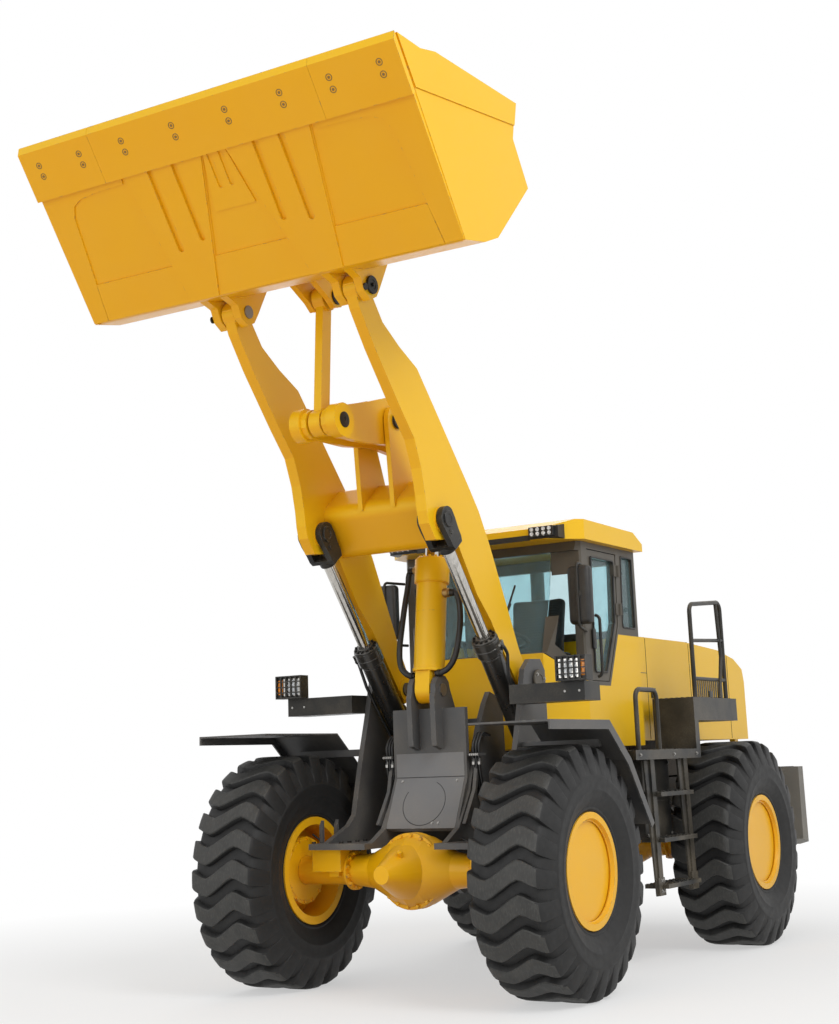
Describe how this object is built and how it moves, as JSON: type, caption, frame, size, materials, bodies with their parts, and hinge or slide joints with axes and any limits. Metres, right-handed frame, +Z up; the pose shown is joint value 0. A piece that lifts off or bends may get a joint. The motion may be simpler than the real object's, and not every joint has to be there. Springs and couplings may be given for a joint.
{
  "type": "articulated wheel loader",
  "caption": "Articulated wheel loader with a raised Z-bar loader arm, wide earth bucket, glazed operator cab, tilting engine hood and four large lugged tyres",
  "frame": {"origin": "on the floor under the middle of the bounding box, midway between the counterweight's rear face and the bucket's lip", "axes": "+X forward, +Y to the left, +Z up"},
  "size_m": [7.4149, 3.024, 5.7518],
  "materials": {
    "body_yellow": "gloss",
    "arm_yellow": "gloss",
    "axle_yellow": "gloss",
    "frame_grey": "satin",
    "black_paint": "satin",
    "cylinder_black": "gloss",
    "chrome_rod": "polished",
    "pin_steel": "ground",
    "tyre_rubber": "matte",
    "cab_grey": "satin",
    "window": "clear",
    "interior": "matte",
    "lamp": "satin",
    "cast": "rough"
  },
  "bodies": {
    "chassis": {"rear_frame": "frame_grey", "hitch_pins": "pin_steel", "rear_axle": "axle_yellow", "counterweight": "frame_grey", "engine_block": "cast", "transmission": "cast", "centre_driveshaft": "black_paint", "rear_driveshaft": "black_paint", "cab": "cab_grey", "cab_base": "body_yellow", "cab_roof": "body_yellow", "cab_glass": "window", "cab_interior": "interior", "platforms": "frame_grey", "ladders": "black_paint", "handrails": "black_paint", "mirrors": "black_paint", "work_lamps": "lamp"},
    "engine_hood": {"hood": "body_yellow", "hood_grille": "black_paint", "exhaust": "black_paint"},
    "door": {"cab_door": "cab_grey", "door_glass": "window"},
    "front": {"front_frame": "frame_grey", "front_axle": "axle_yellow", "front_driveshaft": "black_paint", "front_fenders": "frame_grey", "headlamps": "lamp"},
    "roll_front_left": {"tyre_front_left": "tyre_rubber", "wheel_front_left": "axle_yellow"},
    "roll_front_right": {"tyre_front_right": "tyre_rubber", "wheel_front_right": "axle_yellow"},
    "roll_rear_left": {"tyre_rear_left": "tyre_rubber", "wheel_rear_left": "axle_yellow"},
    "roll_rear_right": {"tyre_rear_right": "tyre_rubber", "wheel_rear_right": "axle_yellow"},
    "arm": {"boom": "arm_yellow"},
    "arm_tip_pins": {"bucket_pins": "pin_steel"},
    "scoop": {"bucket": "arm_yellow", "bucket_edge": "arm_yellow"},
    "crank_pin": {"bellcrank_pin": "pin_steel"},
    "crank": {"bellcrank": "arm_yellow"},
    "crank_link_pin": {"link_pin": "pin_steel"},
    "crank_link": {"link": "arm_yellow"},
    "tilt_pin": {"tilt_base_pin": "pin_steel"},
    "tilt_cylinder": {"tilt_barrel": "arm_yellow"},
    "tilt_piston": {"tilt_rod": "chrome_rod"},
    "lift_cylinder_left": {"lift_barrel_left": "cylinder_black"},
    "lift_piston_left": {"lift_rod_left": "chrome_rod"},
    "steer_cylinder_left": {"steer_barrel_left": "cylinder_black"},
    "steer_piston_left": {"steer_rod_left": "chrome_rod"},
    "lift_cylinder_right": {"lift_barrel_right": "cylinder_black"},
    "lift_piston_right": {"lift_rod_right": "chrome_rod"},
    "steer_cylinder_right": {"steer_barrel_right": "cylinder_black"},
    "steer_piston_right": {"steer_rod_right": "chrome_rod"}
  },
  "joints": [
    {"name": "steer", "type": "hinge", "parent": "chassis", "child": "front", "pos_m": [-0.25324, 0, 0.9], "axis": [0, 0, 1], "range_deg": [-35, 35]},
    {"name": "roll_front_left", "type": "hinge", "parent": "front", "child": "roll_front_left", "pos_m": [1.34676, 1.095, 0.805], "axis": [0, 1, 0], "continuous": true},
    {"name": "roll_front_right", "type": "hinge", "parent": "front", "child": "roll_front_right", "pos_m": [1.34676, -1.095, 0.805], "axis": [0, 1, 0], "continuous": true},
    {"name": "roll_rear_left", "type": "hinge", "parent": "chassis", "child": "roll_rear_left", "pos_m": [-1.85324, 1.095, 0.805], "axis": [0, 1, 0], "continuous": true},
    {"name": "roll_rear_right", "type": "hinge", "parent": "chassis", "child": "roll_rear_right", "pos_m": [-1.85324, -1.095, 0.805], "axis": [0, 1, 0], "continuous": true},
    {"name": "lift", "type": "hinge", "parent": "front", "child": "arm", "pos_m": [0.68676, 0, 2.07], "axis": [0, -1, 0], "range_deg": [-83.4, 0]},
    {"name": "arm_tip", "type": "hinge", "parent": "arm", "child": "arm_tip_pins", "pos_m": [2.65676, 0, 4.563], "axis": [0, -1, 0], "range_deg": [-1, 76.75]},
    {"name": "bucket_dump", "type": "hinge", "parent": "arm_tip_pins", "child": "scoop", "pos_m": [2.65676, 0, 4.563], "axis": [0, 1, 0], "range_deg": [0, 100]},
    {"name": "crank_pin_turn", "type": "hinge", "parent": "arm", "child": "crank_pin", "pos_m": [1.66676, 0, 3.89], "axis": [0, -1, 0], "range_deg": [-34.84, 1]},
    {"name": "crank_turn", "type": "hinge", "parent": "crank_pin", "child": "crank", "pos_m": [1.66676, 0, 3.89], "axis": [0, -1, 0], "range_deg": [-1, 31.69]},
    {"name": "link_pin_turn", "type": "hinge", "parent": "crank", "child": "crank_link_pin", "pos_m": [2.36676, 0, 3.78], "axis": [0, -1, 0], "range_deg": [-1, 12.23]},
    {"name": "link_turn", "type": "hinge", "parent": "crank_link_pin", "child": "crank_link", "pos_m": [2.36676, 0, 3.78], "axis": [0, -1, 0], "range_deg": [-69.34, 1]},
    {"name": "tilt_pin_turn", "type": "hinge", "parent": "front", "child": "tilt_pin", "pos_m": [1.10676, 0, 2.03], "axis": [0, -1, 0], "range_deg": [-97.13, 1]},
    {"name": "tilt_swing", "type": "hinge", "parent": "tilt_pin", "child": "tilt_cylinder", "pos_m": [1.10676, 0, 2.03], "axis": [0, -1, 0], "range_deg": [-6.73, 1]},
    {"name": "tilt_stroke", "type": "slide", "parent": "tilt_cylinder", "child": "tilt_piston", "axis": [-0.1272, 0, 0.9919], "range_m": [-0.3963, 0.005]},
    {"name": "lift_swing_left", "type": "hinge", "parent": "front", "child": "lift_cylinder_left", "pos_m": [0.39676, 0.5, 1.385], "axis": [0, -1, 0], "range_deg": [-62.88, 1]},
    {"name": "lift_stroke_left", "type": "slide", "parent": "lift_cylinder_left", "child": "lift_piston_left", "axis": [0.6119, 0, 0.791], "range_m": [-0.7262, 0.005]},
    {"name": "steer_swing_left", "type": "hinge", "parent": "chassis", "child": "steer_cylinder_left", "pos_m": [-0.80324, 0.35, 0.84], "axis": [0, 0, 1], "range_deg": [-15.48, 15.48]},
    {"name": "steer_stroke_left", "type": "slide", "parent": "steer_cylinder_left", "child": "steer_piston_left", "axis": [0.997, 0.0775, 0], "range_m": [-0.2402, 0.2402]},
    {"name": "lift_swing_right", "type": "hinge", "parent": "front", "child": "lift_cylinder_right", "pos_m": [0.39676, -0.5, 1.385], "axis": [0, -1, 0], "range_deg": [-62.88, 1]},
    {"name": "lift_stroke_right", "type": "slide", "parent": "lift_cylinder_right", "child": "lift_piston_right", "axis": [0.6119, 0, 0.791], "range_m": [-0.7262, 0.005]},
    {"name": "steer_swing_right", "type": "hinge", "parent": "chassis", "child": "steer_cylinder_right", "pos_m": [-0.80324, -0.35, 0.84], "axis": [0, 0, 1], "range_deg": [-15.48, 15.48]},
    {"name": "steer_stroke_right", "type": "slide", "parent": "steer_cylinder_right", "child": "steer_piston_right", "axis": [0.997, -0.0775, 0], "range_m": [-0.2402, 0.2402]},
    {"name": "hood_lift", "type": "hinge", "parent": "chassis", "child": "engine_hood", "pos_m": [-3.21324, 0, 1.56], "axis": [0, -1, 0], "range_deg": [0, 50]},
    {"name": "door_swing", "type": "hinge", "parent": "chassis", "child": "door", "pos_m": [-0.51324, 0.796, 2.6], "axis": [0, 0, 1], "range_deg": [0, 85]}
  ],
  "couplings": [
    {"joint": "arm_tip", "follows": "lift", "ratio": -0.90831},
    {"joint": "crank_pin_turn", "follows": "lift", "ratio": 0.40576},
    {"joint": "crank_turn", "follows": "bucket_dump", "ratio": 0.30685},
    {"joint": "link_pin_turn", "follows": "lift", "ratio": -0.13467},
    {"joint": "link_turn", "follows": "bucket_dump", "ratio": -0.68337},
    {"joint": "tilt_pin_turn", "follows": "lift", "ratio": 1.1527},
    {"joint": "tilt_swing", "follows": "bucket_dump", "ratio": -0.05734},
    {"joint": "tilt_stroke", "follows": "bucket_dump", "m_per_rad": -0.2242},
    {"joint": "lift_swing_left", "follows": "lift", "ratio": 0.74199},
    {"joint": "lift_stroke_left", "follows": "lift", "m_per_rad": 0.49548},
    {"joint": "steer_swing_left", "follows": "steer", "ratio": 0.41377},
    {"joint": "steer_stroke_left", "follows": "steer", "m_per_rad": -0.38504},
    {"joint": "lift_swing_right", "follows": "lift", "ratio": 0.74199},
    {"joint": "lift_stroke_right", "follows": "lift", "m_per_rad": 0.49548},
    {"joint": "steer_swing_right", "follows": "steer", "ratio": 0.41377},
    {"joint": "steer_stroke_right", "follows": "steer", "m_per_rad": 0.38504}
  ]
}
